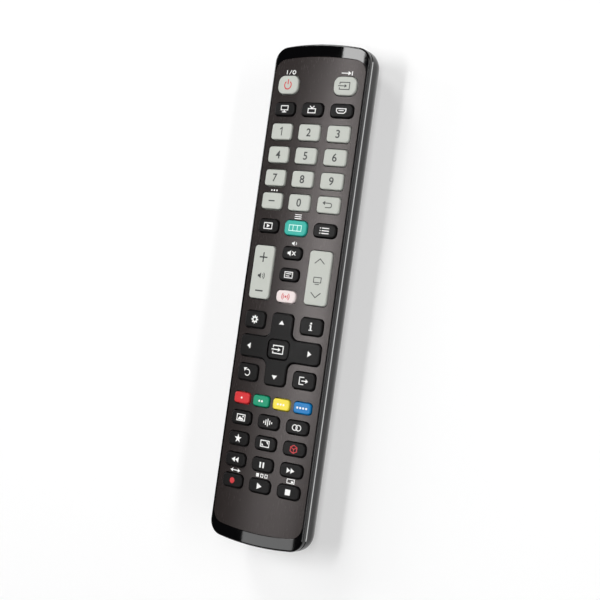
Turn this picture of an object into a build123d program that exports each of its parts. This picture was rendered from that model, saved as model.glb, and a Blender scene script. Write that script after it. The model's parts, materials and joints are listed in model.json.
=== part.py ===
from build123d import *
from collections import namedtuple
from math import radians, cos, sin, sqrt
import os

# A slim universal remote control, lying on its back with the keys up.
# X runs across the keys, Y along them towards the infrared end, and Z up.
# The origin is under the middle of the remote, on the surface it lies on.
# Widths run along X, depths along Y, heights along Z. All in millimetres.

# Keys seen from above
column_pitch = 14.2
key_width = 10.5
power_key_depth = 8.0
power_key_corner = 3.0
slim_key_depth = 5.6
slim_key_corner = 1.9
digit_key_depth = 7.0
digit_key_corner = 1.3
menu_key_width = 11.0
menu_key_depth = 6.4
menu_key_corner = 2.1
rocker_depth = 23.0
rocker_corner = 1.6
middle_key_width = 9.6
middle_key_depth = 5.2
middle_key_pitch = 9.28
corner_key_depth = 7.1
corner_key_pitch = 22.8
corner_key_corner = 1.8
colour_key_width = 8.1
colour_key_depth = 4.7
colour_key_corner = 1.3
colour_key_pitch = 10.2

# Direction cross and the key in its middle
cross_width = 40.2
cross_depth = 30.7
cross_arm_width = 10.6
cross_bar_depth = 9.3
cross_tip_round = 2.0
cross_inner_round = 3.4
ok_key_width = 10.4
ok_key_depth = 8.2
ok_key_corner = 2.0

# Gaps between the rows of keys, from the infrared end down, and the plate's margins
top_margin = 8.5
power_row_gap = 3.8
input_row_gap = 3.5
digit_row_gap = 3.05
zero_row_gap = 4.2
menu_row_gap = 5.35
rocker_row_gap = 5.1
cross_row_gap = 4.95
colour_row_gap = 3.25
low_row_gap = 3.43
bottom_margin = 17.3
side_margin = 3.15

# Case seen from above
rim_width = 1.1
end_band = 5.4
end_bow = 2.0
case_corner = 6.5
plate_corner = 5.6

# Heights, from the back up
skin = 1.6
battery_clearance = 0.3
battery_diameter = 10.5
roof_thickness = 0.9
board_clearance = 0.2
board_thickness = 1.2
mat_thickness = 0.9
key_travel = 0.8
flange_thickness = 0.6
stop_clearance = 0.1
deck_edge_thickness = 0.8
glue_line = 0.1
plate_thickness = 0.8
key_rise = 0.9
parting_drop = 1.1
side_wall_height = 2.4

# Roundings of the case
crown_radius = 200.0
end_round = 10.0
rim_round = 0.8
seam_bevel = 0.4
plate_bevel = 0.18
key_edge_round = 0.55

# Fits
key_gap = 0.42
rock_gap = 0.38
key_flange_lip = 0.58
flange_lip = 0.4
plate_fit = 0.12
lip_fit = 0.15
lip_thickness = 0.8
mat_fit = 0.3
board_fit = 0.5
door_fit = 0.18
window_fit = 0.1

# Silicone domes under the keys
dome_radius = 1.4
dome_top_radius = 1.0
dome_height = 1.0
dome_clearance = 0.35
rocker_dome_pitch = 15.0
cross_dome_spread_x = 29.0
cross_dome_spread_y = 23.0

# Rocking hub of the direction cross
hub_thickness = 0.7
hub_wall = 1.4
hub_drop = 0.4
cross_lift = 0.25
ok_flange_thickness = 0.4
rocker_ear_depth = 3.0
rocker_ear_drop = 0.15

# Battery bay and door
battery_length = 44.5
battery_nub_radius = 1.9
battery_nub_height = 0.9
battery_pitch = 11.0
contact_plate = 0.4
spring_length = 4.3
spring_radius = 3.2
spring_tip_radius = 2.1
spring_wire = 0.5
spring_turns = 3
contact_width = 8.0
contact_height = 6.4
bay_wall = 0.9
bay_end_margin = 7.1
bay_end_wall_low = 4.9
door_width = 26.0
door_shoulder = 1.4
door_hook_web = 0.8
door_hook_reach = 1.0
door_hook_height = 0.8
door_tab_width = 1.6
door_tab_reach = 1.8
door_lap = 2.0
grip_count = 6
grip_pitch = 1.8
grip_width = 11.0
grip_groove = 0.8
grip_depth = 0.3
grip_set_back = 6.0

# Board, infrared diodes and what is soldered on
ledge_width = 1.4
ledge_height = 1.2
post_radius = 1.5
post_spread = 24.0
post_place_shares = (0.15, 0.72)
led_radius = 2.5
led_length = 8.6
led_flange = 0.4
led_flange_thickness = 1.0
led_pitch = 9.0
led_drop = 0.2
led_setback = 1.0
lead_thickness = 0.5
lead_pitch = 2.54
lead_reach = 1.8
window_width = 22.0
window_height = 9.0
chip_size = 8.0
chip_height = 1.5
chip_place_share = 0.3
chip_leg = 0.4
chip_leg_reach = 1.0
chip_leg_pitch = 1.0
chip_legs_per_side = 7
crystal_width = 4.6
crystal_depth = 3.0
crystal_height = 2.2
crystal_place_share = 0.44
capacitor_radius = 2.5
capacitor_length = 7.0
capacitor_place_share = 0.58
resistor_width = 2.0
resistor_depth = 1.2
resistor_height = 0.6
resistor_pitch = 3.4
resistor_count = 5
resistor_place_share = 0.7

# Case screw
screw_radius = 0.95
screw_head_radius = 1.8
screw_head_height = 1.2
screw_slot = 0.5
screw_pilot_fit = 0.05
screw_hole_fit = 0.35
boss_wall = 1.3
boss_fit = 0.3
screw_row_offset = 6.2

# Overrun of cuts
overrun = 1.0

# Rows of keys, from the infrared end down: name, depth and the gap below
row_stack = (
    ("power", power_key_depth, power_row_gap),
    ("inputs", slim_key_depth, input_row_gap),
    ("one", digit_key_depth, digit_row_gap),
    ("four", digit_key_depth, digit_row_gap),
    ("seven", digit_key_depth, digit_row_gap),
    ("zero", digit_key_depth, zero_row_gap),
    ("menu", menu_key_depth, menu_row_gap),
    ("rockers", rocker_depth, rocker_row_gap),
    ("cross", cross_depth, cross_row_gap),
    ("colours", colour_key_depth, colour_row_gap),
    ("picture", slim_key_depth, low_row_gap),
    ("favourite", slim_key_depth, low_row_gap),
    ("rewind", slim_key_depth, low_row_gap),
    ("record", slim_key_depth, 0),
)

plate_depth = top_margin + sum(depth + gap for _, depth, gap in row_stack) + bottom_margin
plate_width = 2 * column_pitch + key_width + 2 * side_margin
case_depth = plate_depth + 2 * end_band
case_width = plate_width + 2 * rim_width

row_y = {}
row_edge = plate_depth / 2 - top_margin
for row_name, row_depth, row_gap in row_stack:
    row_y[row_name] = row_edge - row_depth / 2
    row_edge -= row_depth + row_gap

# Levels
battery_low = skin + battery_clearance
battery_z = battery_low + battery_diameter / 2
roof_low = battery_low + battery_diameter + battery_clearance
roof_top = roof_low + roof_thickness
board_low = roof_top + board_clearance
board_top = board_low + board_thickness
mat_top = board_top + mat_thickness
deck_low = mat_top + stop_clearance + key_travel + flange_thickness
flange_low = deck_low - flange_thickness
plate_sag = crown_radius - sqrt(crown_radius**2 - (plate_width / 2) ** 2)
plate_top = deck_low + deck_edge_thickness + glue_line + plate_thickness + plate_sag
crown_z = plate_top - crown_radius
parting_z = deck_low - parting_drop
lip_low = board_top + stop_clearance
dome_ceiling = mat_top + dome_height + key_travel + stop_clearance
pocket_radius = dome_radius + dome_clearance
hub_top = deck_low - hub_drop
cross_low = deck_low + cross_lift

# Plan of the case and of its back, which rounds up to the sides
back_round = parting_z - side_wall_height
flat_half_width = case_width / 2 - back_round
wall_inset = skin + lip_fit + lip_thickness
mat_inset = wall_inset + mat_fit
board_inset = skin + board_fit
back_turns = (0, 22, 45, 68, 90)

# Battery bay and its door, counted from the case's low end
bay_back = -case_depth / 2 + bay_end_margin + bay_wall
bay_depth = battery_length + spring_length + 2 * contact_plate + battery_clearance
bay_front = bay_back + bay_depth
bay_half_width = door_width / 2 + door_shoulder + battery_clearance
door_front = bay_front - door_tab_reach - battery_clearance
screw_y = row_y["record"] - slim_key_depth / 2 - screw_row_offset

# Every key that slides or rocks in its own hole
KeySpot = namedtuple("KeySpot", "x y width depth corner gap domes")
keys = {}


def place_keys(row, names, width, depth, corner, pitch=column_pitch, shift=0):
    """Spreads a row's keys evenly about the middle; None leaves a place bare."""
    first = -pitch * (len(names) - 1) / 2
    for place, name in enumerate(names):
        if name:
            x = first + place * pitch
            spot = KeySpot(x, row_y[row] + shift, width, depth, corner, key_gap, (0,))
            keys[name] = spot


def place_digits(row, names):
    place_keys(row, names, key_width, digit_key_depth, digit_key_corner)


def place_slim(row, names):
    place_keys(row, names, key_width, slim_key_depth, slim_key_corner)


place_keys("power", ("key_power", None, "key_source"), key_width, power_key_depth, power_key_corner)
place_slim("inputs", ("key_input_1", "key_input_2", "key_input_3"))
place_digits("one", ("key_1", "key_2", "key_3"))
place_digits("four", ("key_4", "key_5", "key_6"))
place_digits("seven", ("key_7", "key_8", "key_9"))
place_digits("zero", ("key_dash", "key_0", "key_previous"))
place_slim("menu", ("key_media", None, "key_guide"))
place_keys("menu", ("key_menu",), menu_key_width, menu_key_depth, menu_key_corner)
for step, name in enumerate(("key_mute", "key_text", "key_stream")):
    drop = (1 - step) * middle_key_pitch
    place_keys("rockers", (name,), middle_key_width, middle_key_depth, slim_key_corner, shift=drop)
for names, drop in (
    (("key_tools", None, "key_info"), corner_key_pitch / 2),
    (("key_return", None, "key_exit"), -corner_key_pitch / 2),
):
    place_keys("cross", names, key_width, corner_key_depth, corner_key_corner, shift=drop)
place_keys(
    "colours",
    ("key_red", "key_green", "key_yellow", "key_blue"),
    colour_key_width,
    colour_key_depth,
    colour_key_corner,
    colour_key_pitch,
)
place_slim("picture", ("key_picture", "key_sound", "key_dual"))
place_slim("favourite", ("key_favourite", "key_size", "key_depth"))
place_slim("rewind", ("key_rewind", "key_pause", "key_forward"))
place_slim("record", ("key_record", "key_play", "key_stop"))

rocker_domes = (-rocker_dome_pitch / 2, rocker_dome_pitch / 2)
rockers = {}
for name, side in (("key_volume", -1), ("key_channel", 1)):
    place = (side * column_pitch, row_y["rockers"])
    rockers[name] = KeySpot(*place, key_width, rocker_depth, rocker_corner, rock_gap, rocker_domes)
ok_spot = KeySpot(0, row_y["cross"], ok_key_width, ok_key_depth, ok_key_corner, rock_gap, (0,))
cross_domes = (
    (0, cross_dome_spread_y / 2),
    (0, -cross_dome_spread_y / 2),
    (cross_dome_spread_x / 2, 0),
    (-cross_dome_spread_x / 2, 0),
)


def case_plan(half_width, half_depth, corner):
    """Plan of the case: straight sides, gently bowed ends and round corners."""
    bow = end_bow * (half_width / (case_width / 2)) ** 2
    shoulder = half_depth - bow
    with BuildLine() as edge:
        Line((half_width, -shoulder), (half_width, shoulder))
        ThreePointArc((half_width, shoulder), (0, half_depth), (-half_width, shoulder))
        Line((-half_width, shoulder), (-half_width, -shoulder))
        ThreePointArc((-half_width, -shoulder), (0, -half_depth), (half_width, -shoulder))
        fillet(edge.vertices(), corner)
    make_face(edge.edges())


def inset_plan(inset):
    """Plan of the case at its widest, pulled in all round."""
    case_plan(case_width / 2 - inset, case_depth / 2 - inset, case_corner - inset)


def back_shape(inset, mode=Mode.ADD):
    """Lofts the rounded back, pulled in all round, and stands the straight wall on it up to the parting line."""
    levels = []
    for turn in back_turns:
        rise = (back_round - inset) * (1 - cos(radians(turn)))
        pulled_x = inset + (back_round - inset) * (1 - sin(radians(turn)))
        pulled_y = inset + (end_round - inset) * (1 - sin(radians(turn)))
        with BuildSketch(Plane.XY.offset(inset + rise)) as level:
            case_plan(case_width / 2 - pulled_x, case_depth / 2 - pulled_y, case_corner - inset)
        levels.append(level.sketch)
    loft(levels, mode=mode)
    extrude(levels[-1], amount=side_wall_height, mode=mode)


def back_height(x, inset):
    """Height of the back's surface, pulled in by inset, at a distance from the middle."""
    across = max(x - flat_half_width, 0)
    return back_round - sqrt((back_round - inset) ** 2 - across**2)


def crown(rise, mode):
    """Keeps or cuts all that lies under the crowned top, raised by rise."""
    with BuildSketch(Plane.XZ) as round_crown:
        with Locations((0, crown_z)):
            Circle(crown_radius + rise)
    extrude(round_crown.sketch, amount=case_depth, both=True, mode=mode)


def key_plan(spot, grow=0):
    """Rounded outline of a key, grown all round."""
    with Locations((spot.x, spot.y)):
        RectangleRounded(spot.width + 2 * grow, spot.depth + 2 * grow, spot.corner + grow)


def cross_plan(sketch, grow=0):
    """Outline of the direction cross, grown all round."""
    with Locations((0, row_y["cross"])):
        Rectangle(cross_width + 2 * grow, cross_bar_depth + 2 * grow)
        Rectangle(cross_arm_width + 2 * grow, cross_depth + 2 * grow)
    inner = [v for v in sketch.vertices() if is_inner(v, grow)]
    fillet(inner, cross_inner_round - grow)
    tips = [v for v in sketch.vertices() if is_tip(v, grow)]
    fillet(tips, cross_tip_round + grow)


def is_inner(corner, grow):
    """True for a corner of the cross where two arms meet."""
    near_x = abs(corner.X) < cross_arm_width / 2 + grow + overrun
    near_y = abs(corner.Y - row_y["cross"]) < cross_bar_depth / 2 + grow + overrun
    return near_x and near_y


def is_tip(corner, grow):
    """True for a corner at the end of an arm."""
    far_x = abs(corner.X) > cross_width / 2 + grow - stop_clearance
    far_y = abs(corner.Y - row_y["cross"]) > cross_depth / 2 + grow - stop_clearance
    return far_x or far_y


def key_holes(low, high):
    """Cuts the holes of every key, rocker and the cross between two levels."""
    with BuildSketch(Plane.XY.offset(low)) as holes:
        for spot in (*keys.values(), *rockers.values()):
            key_plan(spot, spot.gap)
    extrude(holes.sketch, amount=high - low, mode=Mode.SUBTRACT)
    with BuildSketch(Plane.XY.offset(low)) as opening:
        cross_plan(opening, rock_gap)
    extrude(opening.sketch, amount=high - low, mode=Mode.SUBTRACT)


def dome_pockets(places):
    """Cuts the blind pockets that leave the silicone domes room under a key."""
    with BuildSketch(Plane.XY.offset(flange_low)) as pockets:
        with Locations(*places):
            Circle(pocket_radius)
    extrude(pockets.sketch, amount=dome_ceiling - flange_low, mode=Mode.SUBTRACT)


def round_top(part):
    """Rounds the edges of a key's touch face."""
    fillet(part.faces().sort_by(Axis.Z)[-1].edges(), key_edge_round)


def box_between(low, high, mode=Mode.ADD):
    """A block from its lowest to its highest corner."""
    size = [b - a for a, b in zip(low, high)]
    middle = [(a + b) / 2 for a, b in zip(low, high)]
    with Locations(tuple(middle)):
        Box(*size, mode=mode)


def finish(part, name):
    """Labels a finished piece and writes it out."""
    part.label = name
    export_step(part, f"parts/{name}.step")


os.makedirs("parts", exist_ok=True)

# Upper shell: gloss rim and end bands round a sunken deck that the keys come through
with BuildPart() as plate_room:
    with BuildSketch(Plane.XY.offset(deck_low)):
        case_plan(plate_width / 2 + plate_fit, plate_depth / 2 + plate_fit, plate_corner + plate_fit)
    extrude(amount=plate_top - deck_low + overrun)
    crown(-plate_thickness - glue_line, Mode.SUBTRACT)

with BuildPart() as upper_shell:
    with BuildSketch(Plane.XY.offset(parting_z)):
        inset_plan(0)
    extrude(amount=plate_top - parting_z)
    crown(0, Mode.INTERSECT)
    fillet(upper_shell.faces().sort_by(Axis.Z)[-1].edges(), rim_round)
    chamfer(upper_shell.faces().sort_by(Axis.Z)[0].edges(), seam_bevel)
    with BuildSketch(Plane.XY.offset(lip_low)):
        inset_plan(skin + lip_fit)
    extrude(amount=parting_z - lip_low)
    with BuildSketch(Plane.XY.offset(lip_low)):
        inset_plan(wall_inset)
    extrude(amount=deck_low - lip_low, mode=Mode.SUBTRACT)
    with BuildSketch(Plane.XY.offset(lip_low)):
        with Locations((0, screw_y)):
            Circle(screw_radius + screw_pilot_fit + boss_wall)
    extrude(amount=deck_low - lip_low)
    add(plate_room.part, mode=Mode.SUBTRACT)
    key_holes(deck_low, plate_top)
    with BuildSketch(Plane.XY.offset(lip_low)):
        with Locations((0, screw_y)):
            Circle(screw_radius + screw_pilot_fit)
    extrude(amount=deck_low + stop_clearance - lip_low, mode=Mode.SUBTRACT)
finish(upper_shell.part, "upper_shell")

# Face plate: thin crowned plate glued on the deck
with BuildPart() as face_plate:
    with BuildSketch(Plane.XY.offset(deck_low)):
        case_plan(plate_width / 2, plate_depth / 2, plate_corner)
    extrude(amount=plate_top - deck_low)
    crown(0, Mode.INTERSECT)
    chamfer(face_plate.faces().sort_by(Axis.Z)[-1].edges(), plate_bevel)
    crown(-plate_thickness, Mode.SUBTRACT)
    key_holes(deck_low, plate_top)
finish(face_plate.part, "face_plate")


def back_skin(mode_box, low, high):
    """The bare skin of the back, kept or cut inside one box."""
    with BuildPart() as piece:
        back_shape(0)
        back_shape(skin, Mode.SUBTRACT)
        box_between(low, high, mode_box)
    return piece.part


# Ring that bevels the upper edge of the back, so that the seam catches the light
with BuildPart() as bevel_core:
    with BuildSketch(Plane.XY.offset(parting_z - seam_bevel)) as bevel_low:
        inset_plan(0)
    with BuildSketch(Plane.XY.offset(parting_z + overrun)) as bevel_high:
        inset_plan(seam_bevel + overrun)
    loft([bevel_low.sketch, bevel_high.sketch], ruled=True)
with BuildPart() as seam_trim:
    with BuildSketch(Plane.XY.offset(parting_z - seam_bevel)):
        inset_plan(-overrun)
    extrude(amount=seam_bevel + overrun)
    add(bevel_core.part, mode=Mode.SUBTRACT)

# Lower shell: rounded back with the battery bay, board ledges and posts inside
half_case = case_depth / 2
window_low = parting_z - window_height
hook_in = battery_pitch / 2 + battery_diameter / 2 + 1.5 * battery_clearance
hook_out = hook_in + door_hook_web
hook_back = -half_case + end_round
ledge_low = back_height(door_width / 2, skin) + lip_fit
hook_low = ledge_low + door_hook_height + lip_fit
hook_top = hook_low + door_hook_height
door_corner = (door_width / 2 + door_fit, door_front + door_fit, parting_z + overrun)
window_corner = (window_width / 2, half_case + overrun, parting_z + overrun)

with BuildPart() as lower_shell:
    back_shape(0)
    back_shape(skin, Mode.SUBTRACT)
    add(seam_trim.part, mode=Mode.SUBTRACT)
    box_between((-door_corner[0], -half_case - overrun, -overrun), door_corner, Mode.SUBTRACT)
    box_between((-window_corner[0], half_case - end_round, window_low), window_corner, Mode.SUBTRACT)
    outer_wall = bay_half_width + bay_wall
    for side in (-1, 1):
        near, far = sorted((side * bay_half_width, side * outer_wall))
        foot = back_height(bay_half_width, skin) - skin / 3
        box_between((near, bay_back - bay_wall, foot), (far, bay_front + bay_wall, roof_top))
        wall_x = case_width / 2 - skin
        near, far = sorted((side * (wall_x - ledge_width), side * (wall_x + skin / 4)))
        reach = half_case - end_round
        box_between((near, -reach, board_low - ledge_height), (far, reach, board_low))
    box_between((-outer_wall, bay_back - bay_wall, roof_low), (outer_wall, bay_front + bay_wall, roof_top))
    box_between((-outer_wall, bay_back - bay_wall, bay_end_wall_low), (outer_wall, bay_back, roof_top))
    for side in (-1, 1):
        near, far = sorted((side * (hook_out + lip_fit), side * outer_wall))
        box_between((near, hook_back + door_lap, ledge_low), (far, bay_front + bay_wall, hook_low - lip_fit))
    front_foot = back_height(outer_wall, skin / 3)
    box_between((-outer_wall, bay_front, front_foot), (outer_wall, bay_front + bay_wall, roof_top))
    box_between((-flat_half_width, bay_front, skin / 2), (flat_half_width, bay_front + bay_wall, roof_low))
    with BuildSketch(Plane.XY.offset(skin)):
        for share in post_place_shares:
            with Locations((-post_spread / 2, share * half_case), (post_spread / 2, share * half_case)):
                Circle(post_radius)
    extrude(amount=board_low - skin)
    with BuildSketch(Plane.XY.offset(roof_low)):
        with Locations((0, screw_y)):
            Circle(screw_radius + screw_hole_fit)
    extrude(amount=roof_thickness, mode=Mode.SUBTRACT)
finish(lower_shell.part, "lower_shell")

# Infrared window: dark piece of the end's skin in front of the diodes
window_skin = back_skin(
    Mode.INTERSECT,
    (-window_width / 2 + window_fit, half_case - end_round + window_fit, window_low + window_fit),
    (window_width / 2 - window_fit, half_case + overrun, parting_z - window_fit),
)
with BuildPart() as ir_window:
    add(window_skin)
    add(seam_trim.part, mode=Mode.SUBTRACT)
finish(ir_window.part, "ir_window")

# Battery door: piece of the back and of its low end, with side rails and front tabs
door_skin = back_skin(
    Mode.INTERSECT,
    (-door_width / 2, -half_case - overrun, -overrun),
    (door_width / 2, door_front, parting_z - door_fit),
)

with BuildPart() as battery_door:
    add(door_skin)
    add(seam_trim.part, mode=Mode.SUBTRACT)
    for side in (-1, 1):
        near, far = sorted((side * hook_in, side * hook_out))
        hook_foot = back_height(hook_in, skin) - skin / 2
        box_between((near, hook_back, hook_foot), (far, door_front, hook_top))
        near, far = sorted((side * hook_in, side * (hook_out + door_hook_reach)))
        box_between((near, hook_back, hook_low), (far, door_front, hook_top))
        near, far = sorted((side * (hook_out - door_tab_width), side * hook_out))
        tab_low = back_height(hook_out, skin) + lip_fit
        tab_top = tab_low + door_hook_height
        box_between((near, door_front - door_lap, skin / 2), (far, door_front, tab_top))
        box_between((near, door_front - door_lap, tab_low), (far, door_front + door_tab_reach, tab_top))
    for step in range(grip_count):
        y = door_front - grip_set_back - step * grip_pitch
        groove_low = (-grip_width / 2, y - grip_groove / 2, -overrun)
        box_between(groove_low, (grip_width / 2, y + grip_groove / 2, grip_depth), Mode.SUBTRACT)
finish(battery_door.part, "battery_door")

# Silicone mat with a dome under every place that can be pressed
with BuildPart() as keypad_mat:
    with BuildSketch(Plane.XY.offset(board_top)):
        inset_plan(mat_inset)
        with Locations((0, screw_y)):
            Circle(screw_radius + screw_pilot_fit + boss_wall + boss_fit, mode=Mode.SUBTRACT)
    extrude(amount=mat_thickness)
    dome_places = [(dx, row_y["cross"] + dy) for dx, dy in cross_domes]
    for spot in (*keys.values(), *rockers.values(), ok_spot):
        dome_places += [(spot.x, spot.y + dy) for dy in spot.domes]
    with Locations(*[(x, y, mat_top + dome_height / 2) for x, y in dome_places]):
        Cone(dome_radius, dome_top_radius, dome_height)
finish(keypad_mat.part, "keypad_mat")

# Circuit board
with BuildPart() as circuit_board:
    with BuildSketch(Plane.XY.offset(board_low)):
        inset_plan(board_inset)
        with Locations((0, screw_y)):
            Circle(screw_radius + screw_hole_fit, mode=Mode.SUBTRACT)
    extrude(amount=board_thickness)
finish(circuit_board.part, "circuit_board")

# Infrared diodes: round-nosed, with two legs each bent up to the board
led_z = board_low - led_drop - led_radius - led_flange
led_tip = half_case - skin - led_setback
led_base = led_tip - led_length

with BuildPart() as ir_emitters:
    for side in (-1, 1):
        x = side * led_pitch / 2
        with BuildSketch(Plane.XZ.offset(-led_base)):
            with Locations((x, led_z)):
                Circle(led_radius)
        extrude(amount=-(led_length - led_radius))
        with Locations((x, led_tip - led_radius, led_z)):
            Sphere(led_radius)
        with BuildSketch(Plane.XZ.offset(-led_base)):
            with Locations((x, led_z)):
                Circle(led_radius + led_flange)
        extrude(amount=-led_flange_thickness)
        for leg in (-1, 1):
            leg_x = x + leg * lead_pitch / 2
            leg_low = (leg_x - lead_thickness / 2, led_base - lead_reach, led_z - lead_thickness / 2)
            leg_far = leg_x + lead_thickness / 2
            box_between(leg_low, (leg_far, led_base, led_z + lead_thickness / 2))
            box_between(leg_low, (leg_far, led_base - lead_reach + lead_thickness, board_low))
finish(ir_emitters.part, "ir_emitters")

# Parts soldered under the board: control chip, crystal, capacitor and resistors
with BuildPart() as board_components:
    chip_y = chip_place_share * half_case
    chip_low = board_low - chip_leg - chip_height
    box_between(
        (-chip_size / 2, chip_y - chip_size / 2, chip_low),
        (chip_size / 2, chip_y + chip_size / 2, board_low - chip_leg),
    )
    chamfer(board_components.edges().filter_by(Axis.Z), chip_leg)
    for leg in range(chip_legs_per_side):
        y = chip_y + (leg - (chip_legs_per_side - 1) / 2) * chip_leg_pitch
        for side in (-1, 1):
            near, far = sorted((side * (chip_size / 2 - chip_leg), side * (chip_size / 2 + chip_leg_reach)))
            leg_low = (near, y - chip_leg / 2, board_low - 2 * chip_leg)
            box_between(leg_low, (far, y + chip_leg / 2, board_low))
    crystal_y = crystal_place_share * half_case
    with BuildSketch(Plane.XY.offset(board_low)):
        with Locations((0, crystal_y)):
            RectangleRounded(crystal_width, crystal_depth, crystal_depth / 3)
    extrude(amount=-crystal_height)
    with Locations((0, capacitor_place_share * half_case, board_low - capacitor_radius)):
        Cylinder(capacitor_radius, capacitor_length, rotation=(90, 0, 0))
    for step in range(resistor_count):
        x = (step - (resistor_count - 1) / 2) * resistor_pitch
        y = resistor_place_share * half_case
        box_between(
            (x - resistor_width / 2, y - resistor_depth / 2, board_low - resistor_height),
            (x + resistor_width / 2, y + resistor_depth / 2, board_low),
        )
finish(board_components.part, "board_components")

# Batteries: two cells that point opposite ways, each pressed against its nub by a spring
spring_room = contact_plate + spring_length + battery_clearance / 2
cell_body = battery_length - battery_nub_height

with BuildPart() as batteries:
    for side in (-1, 1):
        x = side * battery_pitch / 2
        start = bay_back + spring_room if side < 0 else bay_front - spring_room
        turn = -side
        with BuildSketch(Plane.XZ.offset(-start)):
            with Locations((x, battery_z)):
                Circle(battery_diameter / 2)
        extrude(amount=-turn * cell_body)
        with BuildSketch(Plane.XZ.offset(-start - turn * cell_body)):
            with Locations((x, battery_z)):
                Circle(battery_nub_radius)
        extrude(amount=-turn * battery_nub_height)
finish(batteries.part, "batteries")


def contact_spring(x, wall_y, turn):
    """Coned spring of round rings on a stem, from the plate towards the cell."""
    for ring in range(spring_turns + 1):
        share = ring / spring_turns
        radius = spring_radius + (spring_tip_radius - spring_radius) * share
        along = contact_plate + spring_wire / 2 + (spring_length - spring_wire) * share
        with BuildSketch(Plane.XZ.offset(-(wall_y + turn * (along - spring_wire / 2)))) as loop:
            with Locations((x, battery_z)):
                Circle(radius)
                Circle(radius - spring_wire, mode=Mode.SUBTRACT)
        extrude(loop.sketch, amount=-turn * spring_wire)


# Battery contacts: sprung and plain plates on the walls of the bay
with BuildPart() as battery_contacts:
    plate_low = battery_z - contact_height / 2
    plate_high = battery_z + contact_height / 2
    link_half = battery_pitch / 2 + contact_width / 2
    link_low = max(plate_low, bay_end_wall_low)
    box_between((-link_half, bay_back, link_low), (link_half, bay_back + contact_plate, plate_high))
    for side in (-1, 1):
        x = side * battery_pitch / 2
        box_between(
            (x - contact_width / 2, bay_front - contact_plate, plate_low),
            (x + contact_width / 2, bay_front, plate_high),
        )
    contact_spring(-battery_pitch / 2, bay_back, 1)
    contact_spring(battery_pitch / 2, bay_front, -1)
finish(battery_contacts.part, "battery_contacts")

# Case screw: slotted pan head in the bay's roof, threaded up into the upper shell
with BuildPart() as case_screw:
    with BuildSketch(Plane.XY.offset(roof_low)):
        with Locations((0, screw_y)):
            Circle(screw_radius)
    extrude(amount=deck_low - roof_low)
    with BuildSketch(Plane.XY.offset(roof_low)):
        with Locations((0, screw_y)):
            Circle(screw_head_radius)
    extrude(amount=-screw_head_height)
    head_low = roof_low - screw_head_height
    slot_high = (screw_head_radius, screw_y + screw_slot / 2, head_low + screw_slot)
    box_between((-screw_head_radius, screw_y - screw_slot / 2, head_low), slot_high, Mode.SUBTRACT)
finish(case_screw.part, "case_screw")

# Plain keys: a cap that follows the crown, on a flange that stops under the deck
for name, spot in keys.items():
    with BuildPart() as key:
        with BuildSketch(Plane.XY.offset(flange_low)):
            key_plan(spot)
        extrude(amount=plate_top + key_rise - flange_low)
        crown(key_rise, Mode.INTERSECT)
        round_top(key)
        with BuildSketch(Plane.XY.offset(flange_low)):
            key_plan(spot, key_flange_lip)
        extrude(amount=flange_thickness)
        dome_pockets([(spot.x, spot.y)])
    finish(key.part, name)

# Rockers: long keys that tip about the ears at their middle
for name, spot in rockers.items():
    with BuildPart() as rocker:
        with BuildSketch(Plane.XY.offset(flange_low)):
            key_plan(spot)
        extrude(amount=plate_top + key_rise - flange_low)
        crown(key_rise, Mode.INTERSECT)
        round_top(rocker)
        ear_half = spot.width / 2 + rock_gap + flange_lip
        box_between(
            (spot.x - ear_half, spot.y - rocker_ear_depth / 2, flange_low),
            (spot.x + ear_half, spot.y + rocker_ear_depth / 2, deck_low - rocker_ear_drop),
        )
        dome_pockets([(spot.x, spot.y + dy) for dy in spot.domes])
    finish(rocker.part, name)

# Key in the middle of the cross
with BuildPart() as key_ok:
    with BuildSketch(Plane.XY.offset(flange_low)):
        key_plan(ok_spot)
    extrude(amount=plate_top + key_rise - flange_low)
    crown(key_rise, Mode.INTERSECT)
    round_top(key_ok)
    with BuildSketch(Plane.XY.offset(flange_low)):
        key_plan(ok_spot, flange_lip)
    extrude(amount=ok_flange_thickness)
    dome_pockets([(ok_spot.x, ok_spot.y)])
finish(key_ok.part, "key_ok")

# Rocking hub: a flat ring under the deck's inner corners, round the middle key
hub_hole = flange_lip + rock_gap
hub_edge = hub_hole + hub_wall

with BuildPart() as dpad_hub:
    with BuildSketch(Plane.XY.offset(hub_top - hub_thickness)):
        key_plan(ok_spot, hub_edge)
        with Locations((ok_spot.x, ok_spot.y)):
            hole_width = ok_spot.width + 2 * hub_hole
            hole_depth = ok_spot.depth + 2 * hub_hole
            RectangleRounded(hole_width, hole_depth, ok_spot.corner + hub_hole, mode=Mode.SUBTRACT)
    extrude(amount=hub_thickness)
finish(dpad_hub.part, "dpad_hub")

# Direction cross: hollow over the hub, with its hole round the middle key
with BuildPart() as dpad_cross:
    with BuildSketch(Plane.XY.offset(flange_low)) as cross_outline:
        cross_plan(cross_outline)
    extrude(amount=plate_top + key_rise - flange_low)
    crown(key_rise, Mode.INTERSECT)
    round_top(dpad_cross)
    with BuildSketch(Plane.XY.offset(flange_low)):
        key_plan(ok_spot, rock_gap)
    extrude(amount=plate_top + key_rise - flange_low, mode=Mode.SUBTRACT)
    with BuildSketch(Plane.XY.offset(flange_low)):
        key_plan(ok_spot, hub_edge + rock_gap)
    extrude(amount=cross_low - flange_low, mode=Mode.SUBTRACT)
    dome_pockets([(dx, row_y["cross"] + dy) for dx, dy in cross_domes])
finish(dpad_cross.part, "dpad_cross")
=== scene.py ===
import json
import math

import bmesh
import bpy
from mathutils import Matrix, Vector


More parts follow.
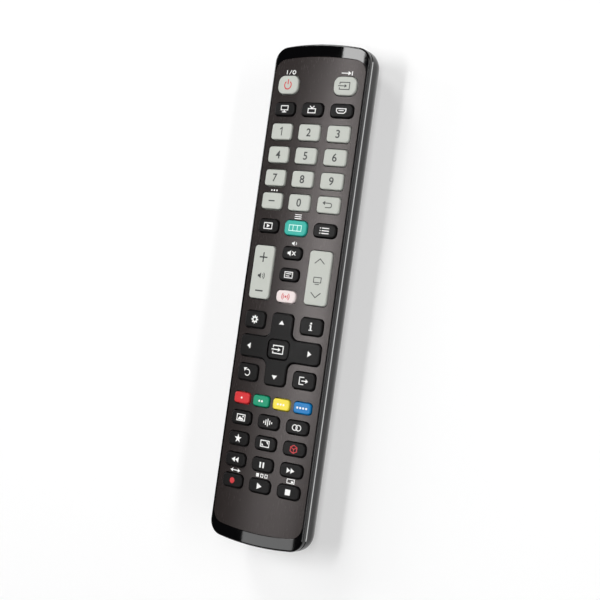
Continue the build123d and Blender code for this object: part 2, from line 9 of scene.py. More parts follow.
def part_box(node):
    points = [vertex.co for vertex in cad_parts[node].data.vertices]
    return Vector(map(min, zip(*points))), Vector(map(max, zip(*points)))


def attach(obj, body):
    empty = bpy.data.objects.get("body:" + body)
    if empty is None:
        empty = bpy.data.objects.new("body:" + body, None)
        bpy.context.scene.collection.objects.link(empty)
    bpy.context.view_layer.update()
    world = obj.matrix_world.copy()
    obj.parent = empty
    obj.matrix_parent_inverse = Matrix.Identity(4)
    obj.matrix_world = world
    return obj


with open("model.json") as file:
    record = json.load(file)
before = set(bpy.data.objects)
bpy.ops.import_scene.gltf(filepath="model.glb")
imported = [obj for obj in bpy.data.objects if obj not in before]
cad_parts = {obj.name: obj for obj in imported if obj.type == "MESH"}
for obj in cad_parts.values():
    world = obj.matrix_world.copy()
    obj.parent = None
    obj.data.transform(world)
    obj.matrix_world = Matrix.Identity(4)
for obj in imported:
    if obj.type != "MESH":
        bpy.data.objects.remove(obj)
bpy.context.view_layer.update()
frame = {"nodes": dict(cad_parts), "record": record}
nodes = frame["nodes"]

# Shapes are drawn in millimetres, and scaled to metres where they are made
MM = 0.001

# The keys' height above the plate, the radius of the crown over both, and how far print stands proud
KEY_RISE = 0.9
CROWN_RADIUS = 200.0
FILM = 0.03

# Widths that the drawn lines share, from fine to heavy
HAIR = 0.32
THIN = 0.34
SLIM = 0.36
LINE = 0.38
BOLD = 0.42

# A mitred corner reaches no further from its point than half the line's width divided by this
MITRE_LIMIT = 0.35

# Numerals: their height, the font's size as a share of it, and how much their strokes are thickened
DIGIT_HEIGHT = 3.5
FONT_SHARE = 1.37
DIGIT_SPREAD = 0.065

# Nearly all of a noise lies between these two values
NOISE_LOW = 0.3
NOISE_HIGH = 0.7


# Colours are written as screen values and turned into linear light
def rgb(red, green, blue):
    def linear(value):
        value = value / 255
        return value / 12.92 if value <= 0.04045 else ((value + 0.055) / 1.055) ** 2.4

    return (linear(red), linear(green), linear(blue), 1.0)


def grey(value):
    """A grey that is already in linear light."""
    return (value, value, value, 1.0)


def tint(colour, share):
    """The same colour, lighter or darker by a share."""
    return tuple(min(1.0, value * share) for value in colour[:3]) + (1.0,)


# Materials
class Paint:
    """A node material with one shader, and short ways to add what shades it. Lengths are in millimetres."""

    def __init__(self, name):
        self.mat = bpy.data.materials.new(name)
        self.mat.use_nodes = True
        self.tree = self.mat.node_tree
        self.shader = self.tree.nodes["Principled BSDF"]
        self.place = self.add("ShaderNodeTexCoord").outputs["Object"]

    def add(self, kind, **values):
        node = self.tree.nodes.new(kind)
        for key, value in values.items():
            setattr(node, key, value)
        return node

    def link(self, source, target):
        self.tree.links.new(source, target)

    def feed(self, target, value):
        """Sets a number or a colour on the target, and links anything else to it."""
        if isinstance(value, (int, float, tuple)):
            target.default_value = value
        else:
            self.link(value, target)

    def put(self, **sockets):
        """Sets the shader's own sockets."""
        for key, value in sockets.items():
            self.shader.inputs[key.replace("_", " ")].default_value = value

    def stretched(self, scale):
        """The place on the object, with each axis scaled on its own."""
        node = self.add("ShaderNodeMapping")
        node.inputs["Scale"].default_value = scale
        self.link(self.place, node.inputs["Vector"])
        return node.outputs["Vector"]

    def noise(self, size, detail=3.0, rough=0.55, place=None):
        """Cloudy noise, with features of about this size."""
        node = self.add("ShaderNodeTexNoise")
        node.inputs["Scale"].default_value = 1.0 / (size * MM)
        node.inputs["Detail"].default_value = detail
        node.inputs["Roughness"].default_value = rough
        self.link(place or self.place, node.inputs["Vector"])
        return node.outputs["Fac"]

    def cells(self, size):
        """The distance from the middle of the nearest cell, in cells of about this size."""
        node = self.add("ShaderNodeTexVoronoi")
        node.inputs["Scale"].default_value = 1.0 / (size * MM)
        self.link(self.place, node.inputs["Vector"])
        return node.outputs["Distance"]

    def ramp(self, source, low, high, to_low=0.0, to_high=1.0):
        """The span from low to high, mapped to another span and cut off at its ends."""
        node = self.add("ShaderNodeMapRange")
        for key, value in (("From Min", low), ("From Max", high), ("To Min", to_low), ("To Max", to_high)):
            node.inputs[key].default_value = value
        self.link(source, node.inputs["Value"])
        return node.outputs["Result"]

    def around(self, noise, middle, reach):
        """A noise mapped to the values within reach of middle."""
        return self.ramp(noise, NOISE_LOW, NOISE_HIGH, middle - reach, middle + reach)

    def maths(self, operation, first, second):
        node = self.add("ShaderNodeMath", operation=operation)
        self.feed(node.inputs[0], first)
        self.feed(node.inputs[1], second)
        return node.outputs["Value"]

    def mix(self, share, one, other):
        """A colour that goes from one to other with share."""
        node = self.add("ShaderNodeMix", data_type="RGBA")
        self.feed(socket_of(node.inputs, "VALUE", "Factor"), share)
        self.feed(socket_of(node.inputs, "RGBA", "A"), one)
        self.feed(socket_of(node.inputs, "RGBA", "B"), other)
        return socket_of(node.outputs, "RGBA", "Result")

    def colour(self, source):
        self.link(source, self.shader.inputs["Base Color"])

    def rough(self, source):
        self.link(source, self.shader.inputs["Roughness"])

    def bump(self, source, height):
        """Relief of about this height."""
        node = self.add("ShaderNodeBump")
        node.inputs["Strength"].default_value = 1.0
        node.inputs["Distance"].default_value = height * MM
        self.link(source, node.inputs["Height"])
        self.link(node.outputs["Normal"], self.shader.inputs["Normal"])


def socket_of(sockets, kind, name):
    """Finds a socket by name and type, since the colour mixer has several of one name."""
    return [socket for socket in sockets if socket.name == name and socket.type == kind][0]


def moulded(name, colour, rough, spread=0.1, grain=0.12, relief=0.004, cloud=9.0, ior=1.47, gleam=0.5):
    """Moulded plastic: faint clouds in the colour, a fine spark-eroded grain, and patches in the sheen."""
    paint = Paint(name)
    clouds = paint.noise(cloud, 4.0)
    paint.colour(paint.mix(clouds, tint(colour, 1 - spread), tint(colour, 1 + spread)))
    fine = paint.noise(grain, 2.0, 0.6)
    paint.rough(paint.maths("ADD", paint.around(clouds, 0.0, 0.03), paint.around(fine, rough, 0.03)))
    paint.bump(fine, relief)
    paint.put(IOR=ior, Specular_IOR_Level=gleam)
    return paint.mat


def gloss_shell():
    """Polished black moulding: a faint waviness, dust-fine scratches and a little haze."""
    paint = Paint("gloss_shell")
    clouds = paint.noise(14.0, 5.0)
    paint.colour(paint.mix(clouds, rgb(2, 2, 3), rgb(6, 6, 7)))
    lines = paint.noise(0.25, 2.0, 0.5, paint.stretched((1.0, 0.05, 1.0)))
    haze = paint.ramp(clouds, 0.35, 0.75, 0.03, 0.06)
    scratches = paint.ramp(lines, 0.64, 0.72, 0.0, 0.05)
    paint.rough(paint.maths("ADD", haze, scratches))
    paint.bump(paint.noise(2.6, 2.0), 0.003)
    paint.put(IOR=1.45)
    return paint.mat


def face_plate():
    """Satin lacquer over fine metal flakes, with a soft brushed drift along the plate."""
    paint = Paint("face_plate")
    clouds = paint.noise(16.0, 4.0)
    drift = paint.noise(0.35, 3.0, 0.6, paint.stretched((1.0, 0.12, 1.0)))
    base = paint.mix(clouds, rgb(32, 27, 26), rgb(38, 32, 31))
    flakes = paint.ramp(paint.cells(0.16), 0.0, 0.24, 1.0, 0.0)
    paint.colour(paint.mix(paint.maths("MULTIPLY", flakes, 0.25), base, rgb(80, 73, 71)))
    paint.rough(paint.maths("ADD", paint.around(drift, 0.26, 0.02), paint.around(clouds, 0.0, 0.01)))
    paint.bump(paint.noise(0.14, 2.0, 0.6), 0.003)
    paint.put(IOR=1.35, Specular_Tint=(1.0, 0.93, 0.92, 1.0))
    return paint.mat


def ir_window():
    """Dark red plastic that lets a little light through."""
    paint = Paint("ir_window")
    clouds = paint.noise(4.0, 3.0)
    paint.colour(paint.mix(clouds, rgb(30, 8, 14), rgb(48, 12, 20)))
    paint.rough(paint.around(clouds, 0.07, 0.03))
    paint.bump(paint.noise(1.6, 2.0), 0.004)
    paint.put(IOR=1.49, Transmission_Weight=0.15)
    return paint.mat


def circuit_board():
    """Solder mask over copper tracks, with tinned dots."""
    paint = Paint("circuit_board")
    tracks = paint.add("ShaderNodeTexBrick", offset=0.5)
    tracks.inputs["Scale"].default_value = 260.0
    tracks.inputs["Mortar Size"].default_value = 0.035
    tracks.inputs["Color1"].default_value = rgb(18, 92, 48)
    tracks.inputs["Color2"].default_value = rgb(14, 78, 42)
    tracks.inputs["Mortar"].default_value = rgb(40, 128, 66)
    paint.link(paint.place, tracks.inputs["Vector"])
    dots = paint.ramp(paint.cells(4.2), 0.1, 0.13, 1.0, 0.0)
    paint.colour(paint.mix(dots, tracks.outputs["Color"], rgb(196, 196, 184)))
    paint.rough(paint.around(paint.noise(3.0), 0.35, 0.07))
    paint.bump(tracks.outputs["Fac"], 0.02)
    return paint.mat


def diode_clear():
    """Clear cast resin, with a bluish cast and slight flow marks."""
    paint = Paint("diode_clear")
    clouds = paint.noise(2.0, 2.0)
    paint.colour(paint.mix(clouds, rgb(196, 204, 226), rgb(214, 220, 236)))
    paint.rough(paint.ramp(clouds, NOISE_LOW, NOISE_HIGH, 0.05, 0.12))
    paint.bump(paint.noise(0.8, 2.0), 0.003)
    paint.put(Transmission_Weight=0.7, IOR=1.52)
    return paint.mat


def metal(name, colour, rough, along=(1.0, 0.06, 1.0), grain=0.18, tarnish=0.12):
    """Rolled or plated metal: fine lines one way, and duller patches."""
    paint = Paint(name)
    lines = paint.noise(grain, 3.0, 0.6, paint.stretched(along))
    clouds = paint.noise(5.0, 4.0)
    paint.colour(paint.mix(clouds, tint(colour, 1 - tarnish), colour))
    patches = paint.ramp(clouds, 0.4, 0.8, 0.0, 0.1)
    paint.rough(paint.maths("ADD", paint.around(lines, rough, 0.06), patches))
    paint.bump(lines, 0.004)
    paint.put(Metallic=1.0)
    return paint.mat


def battery_jacket():
    """Printed sleeve with a pale band near each end, and bare steel at the ends of each cell."""
    paint = Paint("battery_jacket")
    low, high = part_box("batteries")
    split = paint.add("ShaderNodeSeparateXYZ")
    paint.link(paint.place, split.inputs["Vector"])
    along = paint.ramp(split.outputs["Y"], low.y, high.y)
    steel, dark, pale = rgb(186, 188, 190), rgb(38, 48, 66), rgb(206, 208, 210)
    band_shares = (
        (0.0, steel), (0.045, dark), (0.2, pale), (0.225, dark), (0.775, pale), (0.8, dark), (0.955, steel),
    )
    bands = paint.add("ShaderNodeValToRGB")
    bands.color_ramp.interpolation = "CONSTANT"
    while len(bands.color_ramp.elements) < len(band_shares):
        bands.color_ramp.elements.new(0.5)
    for element, (share, shade) in zip(bands.color_ramp.elements, band_shares):
        element.position = share
        element.color = shade
    paint.link(along, bands.inputs["Fac"])
    clouds = paint.noise(6.0, 4.0)
    scuffs = paint.ramp(clouds, 0.2, 0.9, 0.0, 0.25)
    paint.colour(paint.mix(scuffs, bands.outputs["Color"], rgb(90, 96, 108)))
    paint.rough(paint.around(clouds, 0.28, 0.06))
    paint.bump(paint.noise(1.2, 2.0), 0.006)
    paint.put(Metallic=0.4)
    return paint.mat


def ink(name, colour, rough=0.45):
    """Pad print: a slightly uneven film with a fine tooth."""
    paint = Paint(name)
    clouds = paint.noise(1.4, 3.0)
    paint.colour(paint.mix(clouds, tint(colour, 0.92), tint(colour, 1.04)))
    paint.rough(paint.around(clouds, rough, 0.05))
    paint.bump(paint.noise(0.1, 2.0), 0.003)
    return paint.mat


finishes = {
    "gloss_shell": gloss_shell(),
    "face_plate": face_plate(),
    "ir_window": ir_window(),
    "silicone": moulded("silicone", rgb(52, 52, 54), 0.62, grain=0.2, relief=0.006, ior=1.41),
    "circuit_board": circuit_board(),
    "diode_clear": diode_clear(),
    "component_black": moulded("component_black", rgb(34, 34, 36), 0.5, grain=0.1, relief=0.01),
    "contact_steel": metal("contact_steel", rgb(206, 206, 200), 0.3),
    "battery_jacket": battery_jacket(),
    "screw_steel": metal("screw_steel", rgb(196, 196, 196), 0.32, along=(1.0, 1.0, 0.2)),
    "key_light": moulded("key_light", rgb(188, 191, 184), 0.46, spread=0.03, cloud=6.0, gleam=0.2),
    "key_black": moulded("key_black", rgb(19, 18, 18), 0.4, cloud=6.0, gleam=0.12),
}

# The coloured keys: their colour, its roughness, and the spread of the clouds in it
key_colours = {
    "key_turquoise": (rgb(48, 171, 157), 0.4, 0.06),
    "key_white": (rgb(228, 215, 213), 0.42, 0.02),
    "key_red": (rgb(206, 46, 50), 0.36, 0.06),
    "key_green": (rgb(4, 144, 106), 0.36, 0.06),
    "key_yellow": (rgb(236, 217, 66), 0.36, 0.05),
    "key_blue": (rgb(4, 116, 182), 0.36, 0.06),
}
for slot, (colour, rough, spread) in key_colours.items():
    finishes[slot] = moulded(slot, colour, rough, spread, cloud=5.0, gleam=0.25)

slots = {part["node"]: part["material_slot"] for part in frame["record"]["subparts"]}
for name, node in nodes.items():
    finish = finishes[slots[name]]
    if not node.material_slots:
        node.data.materials.append(finish)
    for place in node.material_slots:
        place.material = finish

dark_ink = ink("ink_dark", rgb(36, 38, 38))
white_ink = ink("ink_white", rgb(240, 240, 238))
red_ink = ink("ink_red", rgb(198, 30, 38))
pale_ink = ink("ink_pale", rgb(196, 240, 232))


# Outlines of the marks. A part is a list of outlines, and an outline inside another is a hole
def disc(x, y, radius, count=32):
    turns = [2 * math.pi * n / count for n in range(count)]
    return [[(x + radius * math.cos(a), y + radius * math.sin(a)) for a in turns]]


def ring(x, y, radius, width):
    return disc(x, y, radius + width / 2) + disc(x, y, radius - width / 2)


def arc(x, y, radius, width, start, end, count=24):
    """A bent line, from one angle in degrees to another."""
    turns = [math.radians(start + (end - start) * n / count) for n in range(count + 1)]
    far, near = radius + width / 2, radius - width / 2
    outer = [(x + far * math.cos(a), y + far * math.sin(a)) for a in turns]
    inner = [(x + near * math.cos(a), y + near * math.sin(a)) for a in turns]
    return [outer + inner[::-1]]


def slab(x0, y0, x1, y1):
    return [[(x0, y0), (x1, y0), (x1, y1), (x0, y1)]]


def window(x0, y0, x1, y1, width):
    return slab(x0, y0, x1, y1) + slab(x0 + width, y0 + width, x1 - width, y1 - width)


def screen(x, y, width):
    """A window that reaches x and y from the middle."""
    return window(-x, -y, x, y, width)


def stroke(points, width, closed=False):
    """A line of even width along some points, with mitred corners."""
    count = len(points)
    sides = []
    for side in (0.5, -0.5):
        line = []
        for n, here in enumerate(points):
            steps = []
            if closed or n > 0:
                before = points[n - 1]
                steps.append(Vector((here[0] - before[0], here[1] - before[1])).normalized())
            if closed or n < count - 1:
                after = points[(n + 1) % count]
                steps.append(Vector((after[0] - here[0], after[1] - here[1])).normalized())
            normals = [Vector((-step.y, step.x)) for step in steps]
            middle = sum(normals, Vector((0, 0))).normalized()
            reach = side * width / max(MITRE_LIMIT, middle.dot(normals[0]))
            line.append((here[0] + middle.x * reach, here[1] + middle.y * reach))
        sides.append(line)
    return sides if closed else [sides[0] + sides[1][::-1]]


def shape(*points):
    return [list(points)]


def moved(parts, x, y, scale=1.0):
    return [[[(x + px * scale, y + py * scale) for px, py in line] for line in part] for part in parts]


def gear(count=8, rim=0.98, rim_width=0.6, root=1.15, tip=1.8, root_half=0.34, tip_half=0.26):
    """A ring with teeth that narrow towards their tips."""
    teeth = []
    for n in range(count):
        turn = 2 * math.pi * n / count
        way = Vector((math.cos(turn), math.sin(turn)))
        side = Vector((-way.y, way.x))
        ends = [
            way * root - side * root_half, way * tip - side * tip_half,
            way * tip + side * tip_half, way * root + side * root_half,
        ]
        teeth.append(shape(*[(end.x, end.y) for end in ends]))
    return [ring(0, 0, rim, rim_width)] + teeth


def star(tips=5, outer=1.95, inner=0.8):
    corners = []
    for n in range(2 * tips):
        turn = math.radians(90 + 180 * n / tips)
        radius = inner if n % 2 else outer
        corners.append((radius * math.cos(turn), radius * math.sin(turn)))
    return [shape(*corners)]


def cube(x=1.5, y=1.7, edge=0.3, short=0.1):
    """A block seen from one of its corners, in lines. Its upright edge ends a little short of the hull."""
    half = y / 2
    hull = [(0, y), (x, half), (x, -half), (0, -y), (-x, -half), (-x, half)]
    top = stroke([(-x, half), (0, 0), (x, half)], edge)
    return [stroke(hull, THIN, closed=True), top, stroke([(0, 0), (0, short - y)], edge)]


def entry(width, height, line):
    """An arrow that goes into a box through a gap in its left side."""
    x, y = width / 2, height / 2
    gap_share, head_share = 0.45, 0.5
    tail, overlap = 0.75, 0.1
    gap = y * gap_share
    box = stroke([(-x, gap), (-x, y), (x, y), (x, -y), (-x, -y), (-x, -gap)], line)
    shaft = slab(-x - tail, -line / 2, overlap, line / 2)
    head = shape((0, y * head_share), (x * head_share, 0), (0, -y * head_share))
    return [box, shaft, head]


def speaker(x=0.0):
    """A box at the left, and a cone that opens to the right and ends just left of x."""
    left, neck, mouth = x - 1.7, x - 1.0, x - 0.1
    return shape((left, 0.5), (neck, 0.5), (mouth, 1.3), (mouth, -1.3), (neck, -0.5), (left, -0.5))


def dots(count, pitch, radius, x=0.0):
    """A row of dots with its middle at x."""
    return [disc(x + pitch * (n - (count - 1) / 2), 0, radius) for n in range(count)]


def bars(x0, x1, pitch, half):
    """Three flat bars, one above another."""
    return [slab(x0, y - half, x1, y + half) for y in (pitch, 0.0, -pitch)]


# Heads of the rewind and forward arrows
left_head = shape((0.0, 1.15), (-1.75, 0.0), (0.0, -1.15))
right_head = shape((0.0, 1.15), (1.75, 0.0), (0.0, -1.15))

# The mark on each key: a list of drawn parts, or a numeral. The 1 is drawn, and other numerals come after
marks = {
    "key_power": [arc(0, -0.15, 1.75, 0.52, 126, 414), slab(-0.26, 0.15, 0.26, 2.35)],
    "key_source": entry(4.6, 3.0, SLIM),
    "key_input_1": [
        window(-2.0, -0.6, 2.0, 1.6, LINE),
        slab(-0.25, -1.1, 0.25, -0.6),
        slab(-1.1, -1.5, 1.1, -1.1),
    ],
    "key_input_2": [
        window(-2.0, -1.55, 2.0, 0.6, LINE),
        stroke([(-1.1, 1.6), (0, 0.6), (1.1, 1.6)], THIN),
    ],
    "key_input_3": [
        stroke(
            [(-2.2, 0.95), (2.2, 0.95), (2.2, -0.15), (1.4, -1.0), (-1.4, -1.0), (-2.2, -0.15)],
            LINE, closed=True,
        ),
        slab(-1.2, -0.05, 1.2, 0.3),
    ],
    "key_dash": [slab(-1.6, -0.26, 1.6, 0.26)],
    "key_previous": [
        stroke([(-1.5, 0.8), (0.8, 0.8)], LINE),
        arc(0.8, -0.15, 0.95, LINE, -90, 90),
        stroke([(0.8, -1.1), (-1.2, -1.1)], LINE),
        shape((-1.4, 1.7), (-2.7, 0.8), (-1.4, -0.1)),
    ],
    "key_menu": [screen(3.2, 1.4, SLIM), slab(-1.25, -1.2, -0.9, 1.2), slab(0.9, -1.2, 1.25, 1.2)],
    "key_media": [screen(2.3, 1.45, LINE), shape((-0.6, 0.8), (0.95, 0.0), (-0.6, -0.8))],
    "key_guide": bars(-2.2, -1.7, 1.1, 0.2) + bars(-1.2, 2.2, 1.1, 0.2),
    "key_mute": [
        speaker(-0.3),
        stroke([(0.3, 0.85), (2.0, -0.85)], LINE),
        stroke([(0.3, -0.85), (2.0, 0.85)], LINE),
    ],
    "key_text": [screen(2.1, 1.4, THIN), slab(-1.3, 0.3, 1.3, 0.65), slab(-1.3, -0.65, 0.5, -0.3)],
    "key_stream": [disc(0, 0, 0.45)]
    + [arc(0, 0, radius, THIN, start, start + 90) for radius in (1.1, 1.85) for start in (-45, 135)],
    "key_volume": [
        slab(-2.1, 6.12, 2.1, 6.72),
        slab(-0.3, 4.32, 0.3, 8.52),
        slab(-2.0, -8.4, 2.0, -7.8),
    ]
    + moved([speaker(0.1)] + [arc(0.2, 0, radius, HAIR, -50, 50) for radius in (1.0, 1.75)], -0.1, -1.6),
    "key_channel": [
        stroke([(-2.3, 6.1), (0, 8.2), (2.3, 6.1)], LINE),
        stroke([(-2.3, -6.1), (0, -8.2), (2.3, -6.1)], LINE),
        window(-1.9, -2.0, 1.9, 0.5, THIN),
        slab(-1.0, -2.75, 1.0, -2.42),
    ],
    "key_tools": gear(),
    "key_info": [
        disc(0, 1.45, 0.42),
        slab(-0.32, -1.6, 0.32, 0.7),
        slab(-0.85, -1.6, 0.85, -1.25),
        slab(-0.75, 0.37, 0.2, 0.7),
    ],
    "key_return": [arc(0, -0.15, 1.3, 0.4, -150, 120), shape((-1.55, 0.3), (-0.3, 1.95), (-2.15, 1.75))],
    "key_exit": [
        stroke([(0.3, 1.5), (-1.8, 1.5), (-1.8, -1.5), (0.3, -1.5)], LINE),
        slab(-0.8, -0.2, 1.3, 0.2),
        shape((1.1, 0.95), (2.3, 0.0), (1.1, -0.95)),
    ],
    "key_ok": entry(5.0, 3.3, BOLD),
    "key_picture": [
        screen(2.3, 1.5, LINE),
        disc(1.1, 0.6, 0.36),
        shape((-1.7, -0.95), (-0.6, 0.6), (0.15, -0.2), (0.6, 0.1), (1.6, -0.95)),
    ],
    "key_sound": [
        slab(x - 0.22, -reach, x + 0.22, reach)
        for x, reach in ((-2.0, 0.5), (-1.0, 1.1), (0.0, 1.6), (1.0, 0.9), (2.0, 0.4))
    ],
    "key_dual": [ring(-0.85, 0, 1.15, SLIM), ring(0.85, 0, 1.15, SLIM)],
    "key_favourite": star(),
    "key_size": [
        screen(2.3, 1.5, LINE),
        shape((0.5, 0.9), (1.6, 0.9), (1.6, -0.2)),
        shape((-0.5, -0.9), (-1.6, -0.9), (-1.6, 0.2)),
    ],
    "key_depth": cube(),
    "key_rewind": [left_head] + moved([left_head], 1.85, 0),
    "key_pause": [slab(-1.15, -1.2, -0.42, 1.2), slab(0.42, -1.2, 1.15, 1.2)],
    "key_forward": moved([right_head], -1.85, 0) + [right_head],
    "key_record": [disc(0, 0, 1.25)],
    "key_play": [shape((-1.0, 1.35), (1.4, 0.0), (-1.0, -1.35))],
    "key_stop": [slab(-1.2, -1.2, 1.2, 1.2)],
    "key_1": [stroke([(-0.85, 0.95), (0.25, 1.72), (0.25, -1.75)], BOLD)],
}
for number in range(10):
    marks.setdefault(f"key_{number}", str(number))
for count, name in enumerate(("key_red", "key_green", "key_yellow", "key_blue"), 1):
    marks[name] = dots(count, 1.4, 0.46)

# Keys whose mark isn't white
inks = {"key_menu": pale_ink}
for name in ("key_power", "key_stream", "key_depth", "key_record"):
    inks[name] = red_ink
for name in ("key_source", "key_dash", "key_previous", "key_volume", "key_channel"):
    inks[name] = dark_ink
for number in range(10):
    inks[f"key_{number}"] = dark_ink


def flat_mesh(curve):
    """The mesh of a curve or a text, with nothing else left of it."""
    holder = bpy.data.objects.new("drawing", curve)
    bpy.context.scene.collection.objects.link(holder)
    mesh = bpy.data.meshes.new_from_object(holder)
    bpy.data.objects.remove(holder)
    bpy.data.curves.remove(curve)
    return mesh


def drawn(part):
    curve = bpy.data.curves.new("drawing", "CURVE")
    curve.dimensions = "2D"
    curve.fill_mode = "BOTH"
    curve.extrude = FILM * MM
    for line in part:
        spline = curve.splines.new("POLY")
        spline.points.add(len(line) - 1)
        for point, (x, y) in zip(spline.points, line):
            point.co = (x * MM, y * MM, 0.0, 1.0)
        spline.use_cyclic_u = True
    return flat_mesh(curve)


def written(text):
    """A numeral with its middle at the origin."""
    curve = bpy.data.curves.new("drawing", "FONT")
    curve.body = text
    curve.size = DIGIT_HEIGHT * FONT_SHARE * MM
    curve.align_x = "CENTER"
    curve.fill_mode = "BOTH"
    curve.extrude = FILM * MM
    curve.resolution_u = 8
    curve.offset = DIGIT_SPREAD * MM
    mesh = flat_mesh(curve)
    across = [vertex.co.x for vertex in mesh.vertices]
    upright = [vertex.co.y for vertex in mesh.vertices]
    middle = Vector((min(across) + max(across), min(upright) + max(upright), 0.0)) / 2
    for vertex in mesh.vertices:
        vertex.co -= middle
    return mesh


plate_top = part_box("face_plate")[1].z / MM


def crown(x, rise):
    """Height of the crowned surface at x, in metres."""
    radius = CROWN_RADIUS + rise
    return (plate_top - CROWN_RADIUS + math.sqrt(radius**2 - (x / MM) ** 2)) * MM


def middle_of(name):
    """The middle of a node, in millimetres."""
    low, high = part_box(name)
    return (low + high) / 2 / MM


def stamp(name, parts, x, y, rise, body, material):
    """Prints a mark on the crowned surface round (x, y), in millimetres, and lets it ride on body."""
    meshes = [written(parts)] if isinstance(parts, str) else [drawn(part) for part in parts]
    whole = bmesh.new()
    for mesh in meshes:
        whole.from_mesh(mesh)
        bpy.data.meshes.remove(mesh)
    for vertex in whole.verts:
        vertex.co.x += x * MM
        vertex.co.y += y * MM
        vertex.co.z += crown(vertex.co.x, rise)
    mesh = bpy.data.meshes.new(name)
    whole.to_mesh(mesh)
    whole.free()
    mesh.materials.append(material)
    piece = bpy.data.objects.new(name, mesh)
    bpy.context.scene.collection.objects.link(piece)
    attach(piece, body)


for name, parts in marks.items():
    middle = middle_of(name)
    print_name = name.replace("key_", "print_")
    stamp(print_name, parts, middle.x, middle.y, KEY_RISE, name, inks.get(name, white_ink))

# Arrows on the cross: how far each is turned, and its place from the cross's middle
arrow = [(-1.3, -0.8), (0.0, 0.95), (1.3, -0.8)]
arrows = []
for turn, x, y in ((0, 0, 11.5), (90, -15.3, 0), (180, 0, -11.8), (270, 15.3, 0)):
    way = Matrix.Rotation(math.radians(turn), 2)
    arrows.append(shape(*[tuple(way @ Vector(point) + Vector((x, y))) for point in arrow]))
middle = middle_of("dpad_cross")
stamp("print_arrows", arrows, middle.x, middle.y, KEY_RISE, "dpad_cross", white_ink)

# Marks on the plate over some keys: the key, the shift to the right, the gap over the key, scale and parts
over_keys = (
    ("key_power", 0.2, 1.025, 1.0, [
        slab(-2.3, -0.9, -1.9, 0.9), stroke([(-0.8, -0.95), (0.3, 0.95)], HAIR), ring(1.7, 0, 0.75, LINE),
    ]),
    ("key_source", -0.1, 1.025, 1.0, [
        slab(-2.6, -0.18, 0.9, 0.18), shape((0.6, 0.9), (1.9, 0), (0.6, -0.9)), slab(2.2, -0.9, 2.6, 0.9),
    ]),
    ("key_dash", 0.3, 0.625, 1.0, dots(3, 1.4, 0.38, x=-0.2)),
    ("key_menu", 0.2, 1.225, 1.0, bars(-1.7, 1.7, 0.85, 0.17)),
    ("key_mute", 0.2, 1.095, 0.8, [speaker(0.2), arc(0.3, 0, 1.0, SLIM, -50, 50)]),
    ("key_record", 0.4, 1.065, 1.0, [
        slab(-1.6, -0.17, 1.6, 0.17),
        shape((1.3, 0.85), (2.7, 0), (1.3, -0.85)),
        shape((-1.3, 0.85), (-2.7, 0), (-1.3, -0.85)),
    ]),
    ("key_play", 0.2, 1.115, 1.0, [
        slab(-2.9, -0.75, -1.5, 0.75), screen(0.75, 0.8, HAIR), window(1.4, -0.8, 2.9, 0.8, HAIR),
    ]),
    ("key_stop", 0.2, 1.215, 1.0, [screen(1.9, 1.0, HAIR), slab(0.2, -0.55, 1.35, 0.15)]),
)
plate_marks = []
for name, shift, gap, scale, parts in over_keys:
    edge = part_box(name)[1].y / MM
    plate_marks += moved(parts, middle_of(name).x + shift, edge + gap, scale)
stamp("print_plate", plate_marks, 0, 0, 0, "root", white_ink)


# Floor
FLOOR_WIDTH = 8.0
FLOOR_DROP = 0.0001
FLOOR_GLOW_SHARE = 0.36


def floor_paint():
    """White paper that keeps the shadow. The camera, gloss and glass see a share of it as plain white."""
    paint = Paint("floor")
    clouds = paint.noise(400.0, 3.0)
    paint.colour(paint.mix(clouds, grey(0.94), grey(0.96)))
    paint.rough(paint.around(clouds, 0.75, 0.05))
    paint.bump(paint.noise(2.0), 0.01)
    rays = paint.add("ShaderNodeLightPath").outputs
    mirrored = paint.maths("ADD", rays["Is Glossy Ray"], rays["Is Transmission Ray"])
    seen = paint.maths("MINIMUM", paint.maths("ADD", rays["Is Camera Ray"], mirrored), 1.0)
    white = paint.add("ShaderNodeEmission")
    both = paint.add("ShaderNodeMixShader")
    paint.link(paint.maths("MULTIPLY", seen, FLOOR_GLOW_SHARE), both.inputs["Fac"])
    paint.link(paint.shader.outputs["BSDF"], both.inputs[1])
    paint.link(white.outputs["Emission"], both.inputs[2])
    paint.link(both.outputs["Shader"], paint.tree.nodes["Material Output"].inputs["Surface"])
    return paint.mat


bpy.ops.mesh.primitive_plane_add(size=FLOOR_WIDTH, location=(0.0, 0.0, -FLOOR_DROP))
floor = bpy.context.active_object
floor.name = "floor"
floor.data.materials.append(floor_paint())


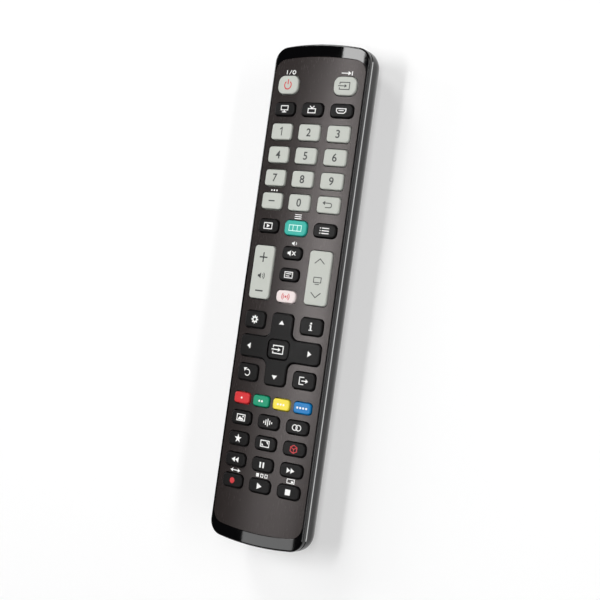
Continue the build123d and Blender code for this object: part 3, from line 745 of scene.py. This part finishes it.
# Lamps and camera, placed in metres
def facing(place, aim, roll=0.0):
    """A matrix at place that faces aim, with its upright along the remote, or rolled by some degrees."""
    back = (Vector(place) - Vector(aim)).normalized()
    along = (Vector((0, 1, 0)) - back * back.y).normalized()
    level = Matrix((along.cross(back), along, back)).transposed()
    turned = level @ Matrix.Rotation(math.radians(roll), 3, "Z")
    return Matrix.Translation(place) @ turned.to_4x4()


def lamp(name, place, aim, width, length, power):
    """A soft box whose length lies along the remote."""
    data = bpy.data.lights.new(name, "AREA")
    data.shape = "RECTANGLE"
    data.size = width
    data.size_y = length
    data.energy = power
    holder = bpy.data.objects.new(name, data)
    bpy.context.scene.collection.objects.link(holder)
    holder.matrix_world = facing(place, aim)


lamp("lamp_strip", (-0.4425, 0.175, 1.15), (0.016, 0.175, 0.02), width=0.153, length=0.65, power=4.2)
lamp("lamp_wide", (-0.592, -0.06, 1.15), (0.005, -0.06, 0.02), width=0.39, length=0.78, power=3.6)
lamp("lamp_high", (0.5, 0.1, 1.2), (0.023, 0.1, 0.02), width=0.3, length=1.1, power=5.0)
lamp("lamp_back", (-0.7, 1.25, 0.8), (0.0, 0.0, 0.0), width=0.5, length=0.5, power=8.0)
lamp("lamp_left", (-1.3, 0.3, 0.55), (-0.023, 0.0, 0.02), width=0.5, length=0.45, power=4.5)
lamp("lamp_seam", (1.06, 0.03, 0.623), (0.0235, 0.0, 0.016), width=0.1, length=1.3, power=6.0)

world = bpy.data.worlds.new("studio")
bpy.context.scene.world = world
world.use_nodes = True
world.node_tree.nodes["Background"].inputs["Color"].default_value = grey(0.03)
world.node_tree.nodes["Background"].inputs["Strength"].default_value = 1.0
bpy.context.scene.view_settings.view_transform = "Standard"

camera_data = bpy.data.cameras.new("camera")
camera_data.sensor_width = 36.0
camera_data.lens = 78.0
camera_data.clip_start = 0.01
camera = bpy.data.objects.new("camera", camera_data)
bpy.context.scene.collection.objects.link(camera)
camera.matrix_world = facing((0.29738, -0.01355, 0.484), (0.006623, -0.001807, 0.02), roll=8.0047)
bpy.context.scene.camera = camera
